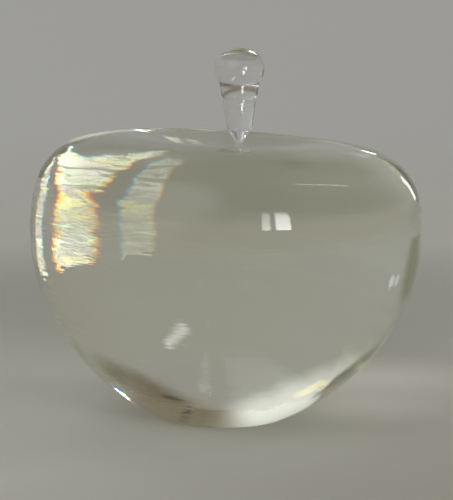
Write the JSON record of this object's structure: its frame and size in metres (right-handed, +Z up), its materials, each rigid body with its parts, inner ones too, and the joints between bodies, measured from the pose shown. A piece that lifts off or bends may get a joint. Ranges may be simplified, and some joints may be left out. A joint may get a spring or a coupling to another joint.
{
  "type": "glass apple paperweight",
  "caption": "Solid clear glass apple paperweight with a flat ground foot, a shallow top hollow and a separate round-headed tapering glass stem cemented into it.",
  "frame": {"origin": "on the table, under the centre of the body's widest ring, which is also the middle of the whole part's outline seen from above", "axes": "+Z up; the body leans towards +X, to the right in the picture; the picture's viewer stands on the -Y side"},
  "size_m": [0.09, 0.09, 0.0851],
  "materials": {
    "body_glass": "solid hand-formed glass with a fire-polished skin and a faint grey-green tint; the foot is ground flat and polished",
    "stem_glass": "colourless lamp-worked glass, fire polished, with a ground peg",
    "clear_cement": "cured clear adhesive"
  },
  "bodies": {
    "root": {"glass_body": "body_glass", "glass_stem": "stem_glass", "stem_cement": "clear_cement"}
  },
  "joints": []
}
